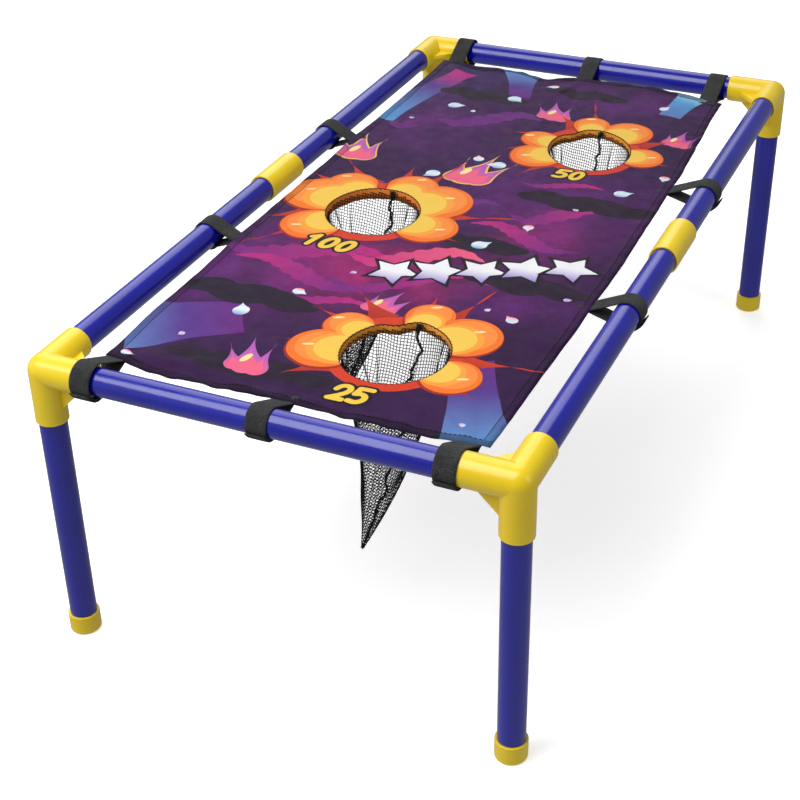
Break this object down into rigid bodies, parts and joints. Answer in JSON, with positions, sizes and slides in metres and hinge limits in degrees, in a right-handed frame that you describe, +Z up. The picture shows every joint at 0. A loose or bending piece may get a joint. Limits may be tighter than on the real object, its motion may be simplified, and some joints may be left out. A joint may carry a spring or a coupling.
{
  "type": "bean bag toss frame",
  "caption": "Low rectangular push-fit tube frame on legs, with a stretched printed cloth, scoring holes and net pouches below them, for tossing bean bags.",
  "frame": {"origin": "centre of the footprint, on the floor that the four feet stand on", "axes": "+Z up, +Y from the thrower's end to the far end, +X to the thrower's right"},
  "size_m": [0.4594, 0.8805, 0.3012],
  "materials": {
    "connector": "glossy moulded plastic",
    "foot_cap": "glossy moulded plastic",
    "tube": "glossy extruded plastic",
    "strap": "woven hook-and-loop webbing",
    "printed_cloth": "printed polyester cloth",
    "net": "knitted net"
  },
  "bodies": {
    "frame": {"corner_front_left": "connector", "corner_front_right": "connector", "corner_rear_left": "connector", "corner_rear_right": "connector", "coupler_left": "connector", "coupler_right": "connector", "end_rail_front": "tube", "end_rail_rear": "tube", "side_rail_left_front": "tube", "side_rail_left_rear": "tube", "side_rail_right_front": "tube", "side_rail_right_rear": "tube", "strap_front_left": "strap", "strap_front_middle": "strap", "strap_front_right": "strap", "strap_rear_left": "strap", "strap_rear_middle": "strap", "strap_rear_right": "strap", "strap_left_front": "strap", "strap_left_rear": "strap", "strap_right_front": "strap", "strap_right_rear": "strap", "target_sheet": "printed_cloth"},
    "front_left_leg": {"leg_front_left": "tube", "foot_front_left": "foot_cap"},
    "front_right_leg": {"leg_front_right": "tube", "foot_front_right": "foot_cap"},
    "rear_left_leg": {"leg_rear_left": "tube", "foot_rear_left": "foot_cap"},
    "rear_right_leg": {"leg_rear_right": "tube", "foot_rear_right": "foot_cap"},
    "pouch_25": {"net_25": "net"},
    "pouch_100": {"net_100": "net"},
    "pouch_50": {"net_50": "net"}
  },
  "joints": [
    {"name": "front_left_leg_pull", "type": "slide", "parent": "frame", "child": "front_left_leg", "axis": [0, 0, -1], "range_m": [0, 0.04]},
    {"name": "front_right_leg_pull", "type": "slide", "parent": "frame", "child": "front_right_leg", "axis": [0, 0, -1], "range_m": [0, 0.04]},
    {"name": "rear_left_leg_pull", "type": "slide", "parent": "frame", "child": "rear_left_leg", "axis": [0, 0, -1], "range_m": [0, 0.04]},
    {"name": "rear_right_leg_pull", "type": "slide", "parent": "frame", "child": "rear_right_leg", "axis": [0, 0, -1], "range_m": [0, 0.04]},
    {"name": "pouch_25_sway", "type": "hinge", "parent": "frame", "child": "pouch_25", "pos_m": [0.049, -0.282, 0.285], "axis": [1, 0, 0], "range_deg": [-12, 12]},
    {"name": "pouch_100_sway", "type": "hinge", "parent": "frame", "child": "pouch_100", "pos_m": [-0.087, -0.035, 0.285], "axis": [1, 0, 0], "range_deg": [-12, 12]},
    {"name": "pouch_50_sway", "type": "hinge", "parent": "frame", "child": "pouch_50", "pos_m": [0.068, 0.192, 0.285], "axis": [1, 0, 0], "range_deg": [-12, 12]}
  ]
}
